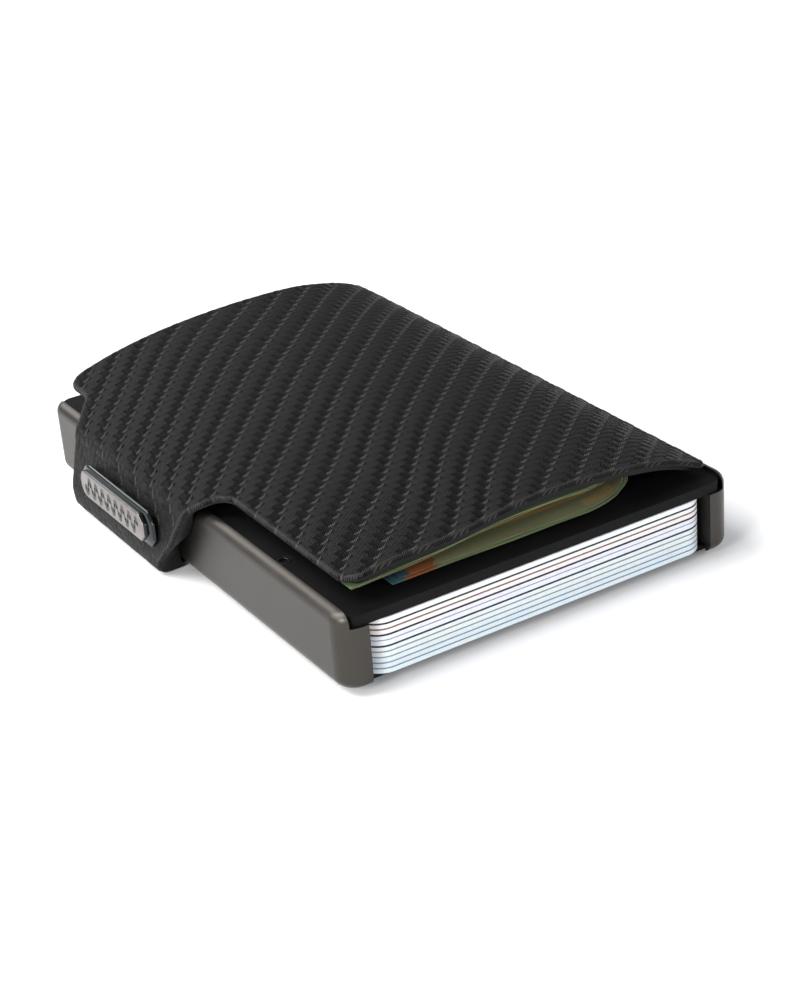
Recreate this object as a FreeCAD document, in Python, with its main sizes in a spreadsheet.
import FreeCAD, Part
import os
import Sketcher
from FreeCAD import Placement, Rotation, Vector

# A slim card wallet: two metal rails and two black plates make an open-fronted pocket for ten
# cards, and a leather wrap runs under the pocket, round the left rail and over the top as a flap.
# Everything is drawn about the middle of the card stack, with Z = 0 at the underside of the
# lowest card. Each sub-part's Placement then carries it to the part's own frame, whose origin is
# the middle of the footprint, on the surface that the wallet lies on. Y runs from the mouth of
# the pocket to its back, and X from the spine to the flap's free edge.

doc = FreeCAD.newDocument("slim_wallet")

DIMENSIONS = {
    # cards, of the standard bank-card size
    "card_wide": 53.98, "card_long": 85.6, "card_thick": 0.76, "card_pitch": 0.812,
    "card_corner": 3.18,
    # rails
    "pocket_half": 27.25, "rail_out": 31.3, "rail_front": -43.3, "rail_rear": 45.0,
    "rail_base": -0.8, "rail_top": 10.4, "rail_corner": 3.0, "rail_round": 1.6,
    # plates over and under the cards, and the bridge behind them
    "ledge_half": 29.85, "plate_half": 29.8, "roof_low": 8.3, "roof_top": 9.8,
    "roof_front": -43.0, "plate_rear": 44.7, "floor_top": -0.05, "floor_front": -41.5,
    "plate_corner": 1.8, "bridge_half": 28.75, "bridge_front": 42.95,
    "window_half": 10.0, "window_front": -36.0, "window_rear": -12.0,
    "notch_half": 11.0, "notch_top": 6.5,
    # retaining springs
    "spring_seat": 28.55, "spring_half": 20.0, "spring_low": 1.4, "spring_high": 6.8,
    "spring_gap": 0.06, "spring_thick": 0.25, "rivet_r": 0.6, "rivet_head_r": 1.1,
    # countersunk plate screws
    "screw_x": 28.45, "screw_r": 0.7, "screw_head_r": 1.2, "screw_head": 0.6, "screw_deep": 2.4,
    "roof_screw_y": 24.0, "floor_screw_front": -38.5, "floor_screw_rear": 40.0,
    # leather
    "back_left": -30.0, "back_right": 28.5, "back_front": -39.0, "back_rear": 40.5,
    "back_thick": 1.0, "back_corner": 4.0, "spine_front": -1.5, "spine_rear": 31.5,
    "flap_left": -31.2, "flap_right": 29.5, "flap_front": -40.5, "flap_rear": 43.6,
    "flap_waist_front": -9.0, "flap_waist_rear": 33.0, "flap_nose": -28.3, "flap_tail": -28.8,
    "flap_corner": 3.0, "leather_thick": 0.9, "core_thick": 0.25, "lining_thick": 0.35,
    "core_inset": 2.5,
    # badge
    "badge_back": -34.8, "badge_step": -35.5, "badge_face": -36.2,
    "badge_front": 3.0, "badge_rear": 24.2, "badge_low": 3.6, "badge_high": 8.0,
    "badge_border": 0.6, "badge_point": 1.5, "badge_nose": 1.6, "badge_pin_r": 0.6,
    # money clip and notes
    "clip_left": -25.5, "clip_fold": -22.3, "clip_tip": 13.0, "clip_half": 10.0,
    "clip_thick": 0.5, "clip_rivet_x": -18.0, "clip_rivet_y": 6.0, "clip_base_right": -14.5,
    "note_front": -39.0, "note_rear": 37.5, "note_thick": 0.25,
}

sheet = doc.addObject("Spreadsheet::Sheet", "Dims")
for row, (alias, value) in enumerate(DIMENSIONS.items(), start=1):
    sheet.set("A%d" % row, alias)
    sheet.set("B%d" % row, str(value))
    sheet.setAlias("B%d" % row, alias)
doc.recompute()

# The frame's offset from the card stack: half-way between the badge's face and the right rail,
# half-way between the rails' ends, and up by the leather under the pocket.
for row, (alias, formula) in enumerate([
        ("shift_x", "=-(badge_face + rail_out) / 2"),
        ("shift_y", "=-(rail_front + rail_rear) / 2"),
        ("shift_z", "=back_thick - rail_base")], start=len(DIMENSIONS) + 1):
    sheet.set("A%d" % row, alias)
    sheet.set("B%d" % row, formula)
    sheet.setAlias("B%d" % row, alias)
doc.recompute()

CARD_COUNT = 10
ALIASES = sorted(list(DIMENSIONS) + ["shift_x", "shift_y", "shift_z"], key=len, reverse=True)
subparts = []


def bound(formula):
    """A formula in sheet aliases, as an expression of the document."""
    words, text = [], ""
    for letter in formula + " ":
        if letter.isalnum() or letter == "_":
            text += letter
            continue
        words.append("Dims." + text if text in ALIASES else text)
        words.append(letter)
        text = ""
    return "".join(words).strip()


def size(alias):
    return float(sheet.get(alias))


def box(name, x, y, z):
    """A box whose spans along X, Y and Z are pairs of formulas."""
    solid = doc.addObject("Part::Box", name)
    for prop, axis, (low, high) in zip(("Length", "Width", "Height"), "xyz", (x, y, z)):
        solid.setExpression(prop, bound("(%s) - (%s)" % (high, low)))
        solid.setExpression("Placement.Base." + axis, bound(low))
    return solid


def rod(name, radius, centre, reach, axis="z"):
    """A cylinder along an axis; centre holds the two other coordinates, reach its span."""
    solid = doc.addObject("Part::Cylinder", name)
    low, high = reach
    solid.setExpression("Radius", bound(radius))
    solid.setExpression("Height", bound("(%s) - (%s)" % (high, low)))
    if axis == "x":
        solid.Placement.Rotation = Rotation(Vector(0, 1, 0), 90)
    names = {"x": "yz", "z": "xy"}[axis]
    for letter, value in zip(names, centre):
        solid.setExpression("Placement.Base." + letter, bound(value))
    solid.setExpression("Placement.Base." + axis, bound(low))
    return solid


def joined(name, shapes):
    whole = doc.addObject("Part::MultiFuse", name)
    whole.Shapes = shapes
    return whole


def grouped(name, shapes):
    """Separate solids that share one node."""
    group = doc.addObject("Part::Compound", name)
    group.Links = shapes
    return group


def cut(name, base, tool):
    rest = doc.addObject("Part::Cut", name)
    rest.Base = base
    rest.Tool = tool
    return rest


def finish(solid, label, lift="0"):
    """Name a sub-part and carry it from the card stack's frame to the part's frame."""
    solid.Label = label
    solid.setExpression("Placement.Base.x", bound("shift_x"))
    solid.setExpression("Placement.Base.y", bound("shift_y"))
    solid.setExpression("Placement.Base.z", bound("shift_z + " + lift))
    subparts.append(solid)
    return solid


def origin_plane(body, role):
    return next(item for item in body.Origin.OriginFeatures if item.Role == role)


def worked_out(formula):
    """A formula's value in millimetres, read from a spare cell of the sheet."""
    sheet.set("D1", "=" + formula)
    sheet.recompute()
    return float(sheet.get("D1"))


def rectangle(body, name, x, y, level):
    """A sketch on the body's XY plane, raised to a level, of a rectangle set by formulas."""
    sketch = body.newObject("Sketcher::SketchObject", name)
    sketch.AttachmentSupport = [(origin_plane(body, "XY_Plane"), "")]
    sketch.MapMode = "FlatFace"
    sketch.setExpression("AttachmentOffset.Base.z", bound(level))
    west, east, south, north = [worked_out(formula) for formula in (*x, *y)]
    corners = [Vector(west, south), Vector(east, south), Vector(east, north), Vector(west, north)]
    for side in range(4):
        sketch.addGeometry(Part.LineSegment(corners[side], corners[(side + 1) % 4]))
    for side in range(4):
        sketch.addConstraint(Sketcher.Constraint("Coincident", side, 2, (side + 1) % 4, 1))
        kind = "Horizontal" if side % 2 == 0 else "Vertical"
        sketch.addConstraint(Sketcher.Constraint(kind, side))
    for corner, (x_text, y_text) in ((0, (x[0], y[0])), (2, (x[1], y[1]))):
        for kind, text, value in (("DistanceX", x_text, corners[corner].x),
                                  ("DistanceY", y_text, corners[corner].y)):
            index = sketch.addConstraint(Sketcher.Constraint(kind, -1, 1, corner, 1, value))
            sketch.setExpression("Constraints[%d]" % index, bound(text))
    return sketch


def padded(name, x, y, z):
    """A body with one rectangular pad; x, y and z are pairs of formulas."""
    body = doc.addObject("PartDesign::Body", name)
    sketch = rectangle(body, name + "_outline", x, y, z[0])
    pad = body.newObject("PartDesign::Pad", name + "_pad")
    pad.Profile = sketch
    pad.setExpression("Length", bound("(%s) - (%s)" % (z[1], z[0])))
    doc.recompute()
    return body


def pocketed(body, name, x, y, z):
    """Cut a rectangular pocket, from the level z[0] up to z[1], and check that it cuts."""
    before = body.Shape.Volume
    sketch = rectangle(body, name + "_outline", x, y, z[0])
    pocket = body.newObject("PartDesign::Pocket", name)
    pocket.Profile = sketch
    pocket.Reversed = True
    pocket.setExpression("Length", bound("(%s) - (%s)" % (z[1], z[0])))
    doc.recompute()
    if body.Shape.Volume > before - 1e-3:
        raise RuntimeError(name + " cuts nothing")


def rounded(body, name, radius, wanted):
    """Fillet the edges of the body's tip for which wanted(edge) is true."""
    tip = body.Tip
    edges = ["Edge%d" % (n + 1) for n, edge in enumerate(tip.Shape.Edges) if wanted(edge)]
    fillet = body.newObject("PartDesign::Fillet", name)
    fillet.Base = (tip, edges)
    fillet.setExpression("Radius", bound(radius))
    doc.recompute()


def upright(edge):
    low, high = edge.BoundBox.ZMin, edge.BoundBox.ZMax
    return edge.BoundBox.XLength + edge.BoundBox.YLength < 1e-6 and high - low > 1e-3


# ---------------------------------------------------------------- the pocket's metal frame

def rail(name, side):
    """One rail: a bar, rounded outside, with ledges for both plates, a recess for its
    retaining spring and a step for the bridge. side is -1 for the left rail, 1 for the right."""
    def span(inner, outer):
        return (inner, outer) if side > 0 else ("-(%s)" % outer, "-(%s)" % inner)

    length = ("rail_front", "rail_rear")
    body = padded(name, span("pocket_half", "rail_out"), length, ("rail_base", "rail_top"))
    outer = size("rail_out")
    rounded(body, name + "_ends", "rail_corner",
            lambda edge: upright(edge) and abs(abs(edge.CenterOfMass.x) - outer) < 1e-3)

    def on_outer_rim(edge):
        box_of = edge.BoundBox
        return box_of.ZLength < 1e-6 and abs(edge.CenterOfMass.x) > size("pocket_half") + 1.0 \
            and not (box_of.XLength > 0.1 and box_of.YLength < 1e-6)

    rounded(body, name + "_rim", "rail_round", on_outer_rim)
    pocketed(body, name + "_roof_ledge", span("pocket_half - 1", "ledge_half"),
             ("rail_front - 1", "plate_rear"), ("roof_low", "rail_top + 1"))
    pocketed(body, name + "_floor_ledge", span("pocket_half - 1", "ledge_half"),
             ("rail_front + 1.2", "plate_rear"), ("rail_base - 1", "floor_top"))
    pocketed(body, name + "_spring_recess", span("pocket_half - 1", "spring_seat"),
             ("-spring_half - 1", "spring_half + 1"), ("spring_low - 0.2", "spring_high + 0.2"))
    pocketed(body, name + "_bridge_step", span("pocket_half - 1", "bridge_half"),
             ("bridge_front", "rail_rear + 1"), ("floor_top", "roof_low"))
    return body


def screw_places(side):
    """Screw centres on one side, above and below: (x, y) formulas."""
    x_text = "screw_x" if side > 0 else "-screw_x"
    roof = [(x_text, "-roof_screw_y"), (x_text, "roof_screw_y")]
    floor = [(x_text, "floor_screw_front"), (x_text, "floor_screw_rear")]
    return roof, floor


def screw(name, place, face, inward):
    """A countersunk screw whose head is flush with a plate's outer face. inward is -1 for a
    screw that points down and 1 for one that points up."""
    head = doc.addObject("Part::Cone", name + "_head")
    head.setExpression("Height", bound("screw_head"))
    wide, narrow = ("Radius1", "Radius2") if inward > 0 else ("Radius2", "Radius1")
    head.setExpression(wide, bound("screw_head_r"))
    head.setExpression(narrow, bound("screw_r"))
    base = face if inward > 0 else "%s - screw_head" % face
    for letter, text in zip("xyz", (*place, base)):
        head.setExpression("Placement.Base." + letter, bound(text))
    reach = (face, "%s + screw_deep" % face) if inward > 0 else ("%s - screw_deep" % face, face)
    shank = rod(name + "_shank", "screw_r", place, reach)
    return joined(name, [head, shank])


def plate_screws(name, which, face, inward):
    places = [place for side in (-1, 1) for place in screw_places(side)[which]]
    return [screw("%s_%d" % (name, n), place, face, inward) for n, place in enumerate(places)]


def drilled(name, body, screws):
    """A piece with its screws' holes, cut by the screws' own shapes."""
    return cut(name, body, grouped(name + "_holes", screws))


roof_screws = plate_screws("roof_screw", 0, "roof_top", -1)
floor_screws = plate_screws("floor_screw", 1, "rail_base", 1)


def spring_rivet(name, side, end):
    """A rivet that pins one end of a retaining spring to its rail."""
    sign = "" if side > 0 else "-"
    centre = ("%sspring_half * 0.9" % ("-" if end < 0 else ""), "(spring_low + spring_high) / 2")
    head = ("spring_seat - spring_thick - 0.3", "spring_seat - spring_thick")
    shank = ("spring_seat - spring_thick", "spring_seat + 1.6")
    parts = []
    for part, radius, (low, high) in (("head", "rivet_head_r", head), ("shank", "rivet_r", shank)):
        reach = (low, high) if side > 0 else (sign + "(%s)" % high, sign + "(%s)" % low)
        parts.append(rod("%s_%s" % (name, part), radius, centre, reach, "x"))
    return joined(name, parts)


spring_rivets = [spring_rivet("spring_rivet_%d" % n, side, end)
                 for n, (side, end) in enumerate([(-1, -1), (-1, 1), (1, -1), (1, 1)])]

for side, label in ((-1, "left_rail"), (1, "right_rail")):
    bar = rail(label + "_bar", side)
    fasteners = roof_screws + floor_screws + spring_rivets
    finish(drilled(label + "_drilled", bar, fasteners), label)


def plate(name, z, front):
    body = padded(name, ("-plate_half", "plate_half"), (front, "plate_rear"), z)
    rounded(body, name + "_corners", "plate_corner", upright)
    return body


def window(name, z, margin):
    """A round-ended slot for the thumb, as a solid to cut with."""
    slot = padded(name, ("-window_half - " + margin, "window_half + " + margin),
                  ("window_front - " + margin, "window_rear + " + margin), z)
    rounded(slot, name + "_ends", "window_half * 0.8", upright)
    return slot


finish(drilled("roof_drilled", plate("roof", ("roof_low", "roof_top"), "roof_front"),
               roof_screws + [rod("roof_clip_hole_%d" % n, "rivet_r", ("clip_rivet_x", y_text),
                                  ("roof_low - 1", "roof_top + 1"))
                              for n, y_text in enumerate(("-clip_rivet_y", "clip_rivet_y"))]),
       "top_plate")

floor_blank = cut("floor_window", plate("floor", ("rail_base", "floor_top"), "floor_front"),
                  window("floor_slot", ("rail_base - 1", "floor_top + 1"), "0"))
finish(drilled("floor_drilled", floor_blank, floor_screws), "bottom_plate")

bridge_bar = box("bridge_bar", ("-bridge_half", "bridge_half"), ("bridge_front", "rail_rear"),
                 ("floor_top", "roof_low"))
bridge_notch = box("bridge_notch", ("-notch_half", "notch_half"),
                   ("bridge_front - 1", "rail_rear + 1"), ("floor_top + 0.8", "notch_top"))
finish(cut("bridge", bridge_bar, bridge_notch), "rear_bridge")

finish(grouped("roof_screw_set", roof_screws), "top_screws")
finish(grouped("floor_screw_set", floor_screws), "bottom_screws")
finish(grouped("spring_rivet_set", spring_rivets), "spring_rivets")


# ---------------------------------------------------------------- bowed springs and ribbons

def arc_through(start, middle, end):
    return Part.Arc(start, middle, end).toShape()


def moved(solid, offset):
    """The solid with an offset built into its geometry, which leaves its placement free."""
    shift = FreeCAD.Matrix()
    shift.move(offset)
    return solid.transformed(shift, True)


def retaining_spring(name, side):
    """A spring strip that bows out of the rail's recess towards the cards' edges."""
    ends = size("spring_seat") - size("spring_thick")
    crown = size("card_wide") / 2 + size("spring_gap")
    reach, thick = size("spring_half"), size("spring_thick")

    def bow(offset):
        return [Vector(side * (ends + offset), -reach, 0), Vector(side * (crown + offset), 0, 0),
                Vector(side * (ends + offset), reach, 0)]

    near, far = bow(0), bow(thick)
    wire = Part.Wire([arc_through(*near), Part.LineSegment(near[2], far[2]).toShape(),
                      arc_through(*far), Part.LineSegment(far[0], near[0]).toShape()])
    low, high = size("spring_low"), size("spring_high")
    strip = Part.Face(wire).extrude(Vector(0, 0, high - low))
    solid = doc.addObject("Part::Feature", name)
    solid.Shape = moved(strip, Vector(0, 0, low))
    return solid


for side, label in ((-1, "left_spring"), (1, "right_spring")):
    strip = retaining_spring(label + "_strip", side)
    finish(drilled(label + "_drilled", strip, spring_rivets), label)


# ---------------------------------------------------------------- cards

for number in range(1, CARD_COUNT + 1):
    name = "card_%02d" % number
    card = padded(name + "_body", ("-card_wide / 2", "card_wide / 2"),
                  ("-card_long / 2", "card_long / 2"), ("0", "card_thick"))
    rounded(card, name + "_corners", "card_corner", upright)
    finish(card, name, "%d * card_pitch" % (number - 1))


# ---------------------------------------------------------------- leather wrap

# The flap's upper surface, across the wallet at its front and rear edges: (x, z).
FLAP_FRONT_CREST = [(-31.2, 12.3), (-26.0, 13.8), (-12.0, 14.7), (1.5, 16.1), (14.0, 15.4),
                    (23.0, 13.9), (29.5, 11.45)]
FLAP_REAR_CREST = [(-31.2, 12.3), (-26.0, 14.2), (-14.0, 17.0), (4.0, 18.3), (16.0, 17.6),
                   (24.0, 15.3), (29.5, 11.45)]


def crest_curve(points, y, drop):
    curve = Part.BSplineCurve()
    curve.interpolate([Vector(x, y, z - drop) for x, z in points])
    return curve


def sheet_section(points, y, top, bottom):
    """The outline of a sheet across the wallet, between two depths below the crest."""
    upper, lower = crest_curve(points, y, top), crest_curve(points, y, bottom)
    ends = [Part.LineSegment(upper.EndPoint, lower.EndPoint).toShape(),
            Part.LineSegment(lower.StartPoint, upper.StartPoint).toShape()]
    return Part.Wire([upper.toShape(), ends[0], lower.toShape(), ends[1]])


def flap_outline(inset):
    """The flap seen from above, as a tall prism, moved in from the edge by an inset."""
    left, nose, tail = size("flap_left"), size("flap_nose"), size("flap_tail")
    front, rear, right = size("flap_front"), size("flap_rear"), size("flap_right")
    corners = [(nose, front), (right, front), (right, rear), (tail, rear),
               (left, size("flap_waist_rear")), (left, size("flap_waist_front"))]
    wire = Part.makePolygon([Vector(x, y, 0) for x, y in corners + corners[:1]])
    if inset:
        wire = wire.makeOffset2D(-inset)
    prism = Part.Face(wire).extrude(Vector(0, 0, 30))
    sharp = [edge for edge in prism.Edges if upright(edge)
             and abs(edge.CenterOfMass.y - front) < inset + 0.1
             or upright(edge) and abs(edge.CenterOfMass.y - rear) < inset + 0.1]
    return prism.makeFillet(size("flap_corner"), sharp)


def flap_layer(name, top, bottom, inset):
    """One layer of the flap, between two depths below its upper surface."""
    front, rear = size("flap_front") - 1, size("flap_rear") + 1
    block = Part.makeLoft([sheet_section(FLAP_FRONT_CREST, front, top, bottom),
                           sheet_section(FLAP_REAR_CREST, rear, top, bottom)], True, True)
    layer = doc.addObject("Part::Feature", name)
    layer.Shape = block.common(flap_outline(inset))
    return layer


leather, core, lining = size("leather_thick"), size("core_thick"), size("lining_thick")
finish(flap_layer("flap_top", 0, leather, 0), "flap_leather")
finish(flap_layer("flap_middle", leather, leather + core, size("core_inset")), "flap_core")
finish(flap_layer("flap_under", leather + core, leather + core + lining, 0), "flap_lining")


def spine_section():
    """Across the wallet: the wrap's turn round the left rail, bulging outwards."""
    inner = size("rail_out") + 0.08
    low, top = size("rail_base") - size("back_thick"), 12.2
    seam = 31.5
    foot = -size("back_left")
    inside = [(-foot, low), (-foot, low + 0.98), (-foot - 1, low + 1.0), (-inner, low + 1.5),
              (-inner, 10.0), (-seam, 10.7), (-seam, top)]
    corners = [Vector(x, 0, z) for x, z in inside]
    straights = [Part.LineSegment(start, end).toShape()
                 for start, end in zip(corners, corners[1:])]
    outline = [*straights,
               arc_through(Vector(-seam, 0, top), Vector(-33.1, 0, 11.2), Vector(-33.9, 0, 9.4)),
               arc_through(Vector(-33.9, 0, 9.4), Vector(-34.8, 0, 4.6), Vector(-35.2, 0, 0.4)),
               arc_through(Vector(-35.2, 0, 0.4), Vector(-34.6, 0, low + 0.7),
                           Vector(-33.2, 0, low)),
               Part.LineSegment(Vector(-33.2, 0, low), Vector(-foot, 0, low)).toShape()]
    return Part.Wire(outline)


def spine_block():
    front, rear = size("spine_front"), size("spine_rear")
    solid = Part.Face(spine_section()).extrude(Vector(0, rear - front, 0))
    block = doc.addObject("Part::Feature", "spine_block")
    block.Shape = moved(solid, Vector(0, front, 0))
    return block


badge_pins = [rod("badge_pin_%d" % n, "badge_pin_r", (y_text, "(badge_low + badge_high) / 2"),
                  ("badge_step", "-rail_out - 0.08"), "x")
              for n, y_text in enumerate(("badge_front + 4", "badge_rear - 4"))]
finish(drilled("spine_drilled", spine_block(), badge_pins), "spine_leather")

back_sheet = padded("back_sheet", ("back_left", "back_right"), ("back_front", "back_rear"),
                    ("rail_base - back_thick", "rail_base"))
rounded(back_sheet, "back_corners", "back_corner", upright)
finish(cut("back_cut", back_sheet,
           window("back_slot", ("rail_base - back_thick - 1", "rail_base + 1"), "1.2")),
       "back_leather")


# ---------------------------------------------------------------- badge

def badge_layer(name, x, border, nose):
    """A flat bar on the spine: round at its rear end and pointed at its front end."""
    low = size("badge_low") - border
    high = size("badge_high") + border
    front, rear = size("badge_front") - nose, size("badge_rear") + border
    point, round_end = size("badge_point"), (high - low) / 2 * 0.9
    middle = (low + high) / 2
    bar = Part.makePolygon([Vector(0, *place) for place in (
        (rear, low), (rear, high), (front + point, high), (front, high - point),
        (front, low + point), (front + point, low), (rear, low))])
    near, far = size(x[0]), size(x[1])
    prism = moved(Part.Face(bar).extrude(Vector(far - near, 0, 0)), Vector(near, 0, 0))
    ends = [edge for edge in prism.Edges if abs(edge.CenterOfMass.y - rear) < 1e-6
            and abs(edge.CenterOfMass.z - middle) > 0.1]
    solid = doc.addObject("Part::Feature", name)
    solid.Shape = prism.makeFillet(round_end, ends)
    return solid


plate_layer = badge_layer("badge_front_layer", ("badge_face", "badge_step"), 0, 0)
backing = badge_layer("badge_back_layer", ("badge_step", "badge_back"),
                      size("badge_border"), size("badge_nose"))
finish(plate_layer, "badge_plate")
bedded = cut("badge_backing_bedded", backing, spine_block())
finish(drilled("badge_backing_drilled", bedded, badge_pins), "badge_backing")
finish(grouped("badge_pin_set", badge_pins), "badge_pins")


# ---------------------------------------------------------------- money clip and notes

def swept_outline(name, outline, y):
    """A closed outline in X and Z, drawn out along Y between two positions."""
    solid = Part.Face(Part.Wire(outline)).extrude(Vector(0, y[1] - y[0], 0))
    piece = doc.addObject("Part::Feature", name)
    piece.Shape = moved(solid, Vector(0, y[0], 0))
    return piece


def ribbon(points, thick):
    """A bent strip's outline: a smooth line through the points, and its copy below it."""
    upper, lower = crest_curve(points, 0, 0), crest_curve(points, 0, thick)
    return [upper.toShape(), Part.LineSegment(upper.EndPoint, lower.EndPoint).toShape(),
            lower.toShape(), Part.LineSegment(lower.StartPoint, upper.StartPoint).toShape()]


def clip_arm():
    """The clip's free arm, which rises from its root and runs over the lower leaf of notes."""
    root, tip, half = size("clip_fold"), size("clip_tip"), size("clip_half")
    points = [(root - 3.0, 10.55), (root - 2.1, 11.0), (root, 11.25), (-12.0, 11.6), (2.0, 12.0),
              (tip - 2.0, 11.95), (tip, 12.2)]
    return swept_outline("clip_arm", ribbon(points, size("clip_thick") - 0.1), (-half, half))


finish(clip_arm(), "clip_arm")

clip_rivets = []
for n, y_text in enumerate(("-clip_rivet_y", "clip_rivet_y")):
    place = ("clip_rivet_x", y_text)
    shank = rod("clip_rivet_shank_%d" % n, "rivet_r", place, ("roof_low", "roof_top + 0.15"))
    head = rod("clip_rivet_head_%d" % n, "rivet_head_r", place, ("roof_top + 0.1", "roof_top + 0.3"))
    clip_rivets.append(joined("clip_rivet_%d" % n, [shank, head]))
clip_strap = box("clip_strap", ("clip_left", "clip_base_right"), ("-clip_half", "clip_half"),
                 ("roof_top", "roof_top + 0.3"))
finish(drilled("clip_base_drilled", clip_strap, clip_rivets), "clip_base")
finish(grouped("clip_rivet_set", clip_rivets), "clip_rivets")


def folded_note(name, depth, crown):
    """A note folded once, with its fold to the right: lower leaf, fold and upper leaf.
    depth is how far it lies inside the outermost note, crown the rise of its upper leaf."""
    thick = size("note_thick")
    fold_x, low = 15.9 - depth, 10.2 + depth
    high = 13.55 - depth
    middle, radius = (low + high) / 2, (high - low) / 2

    def leaf_line(inner):
        upper = Part.BSplineCurve()
        points = [(fold_x, high - inner), (1.0, high + crown - inner), (-12.0, 12.85 - depth - inner),
                  (-27.5 + depth * 2, 11.9 - depth - inner)]
        upper.interpolate([Vector(x, 0, z) for x, z in points])
        return upper

    outer, inner = leaf_line(0), leaf_line(thick)
    left = -21.5 + depth * 2
    edges = [Part.LineSegment(Vector(left, 0, low), Vector(fold_x, 0, low)).toShape(),
             arc_through(Vector(fold_x, 0, low), Vector(fold_x + radius * 1.3, 0, middle),
                         Vector(fold_x, 0, high)),
             outer.toShape(),
             Part.LineSegment(outer.EndPoint, inner.EndPoint).toShape(),
             inner.toShape(),
             arc_through(Vector(fold_x, 0, high - thick),
                         Vector(fold_x + radius * 1.3 - thick, 0, middle),
                         Vector(fold_x, 0, low + thick)),
             Part.LineSegment(Vector(fold_x, 0, low + thick), Vector(left, 0, low + thick)).toShape(),
             Part.LineSegment(Vector(left, 0, low + thick), Vector(left, 0, low)).toShape()]
    return swept_outline(name, edges, (size("note_front") + depth, size("note_rear") - depth))


finish(folded_note("note_outside", 0.0, 0.32), "note_outer")
finish(folded_note("note_inside", 0.3, 0.28), "note_inner")


# ---------------------------------------------------------------- check and write

doc.recompute()
for item in doc.Objects:
    if "Invalid" in item.State or "Error" in item.State:
        raise RuntimeError("%s is in error" % item.Name)
for piece in subparts:
    if piece.Shape.isNull() or not piece.Shape.isValid():
        raise RuntimeError("%s has no valid shape" % piece.Label)

os.makedirs("parts", exist_ok=True)
for piece in subparts:
    piece.Shape.exportStep(os.path.join("parts", piece.Label + ".step"))
    around = piece.Shape.BoundBox
    print("%-14s %2d solid %9.1f mm3  x %6.1f %6.1f  y %6.1f %6.1f  z %5.2f %5.2f" % (
        piece.Label, len(piece.Shape.Solids), piece.Shape.Volume, around.XMin, around.XMax,
        around.YMin, around.YMax, around.ZMin, around.ZMax))
print(len(subparts), "sub-parts")
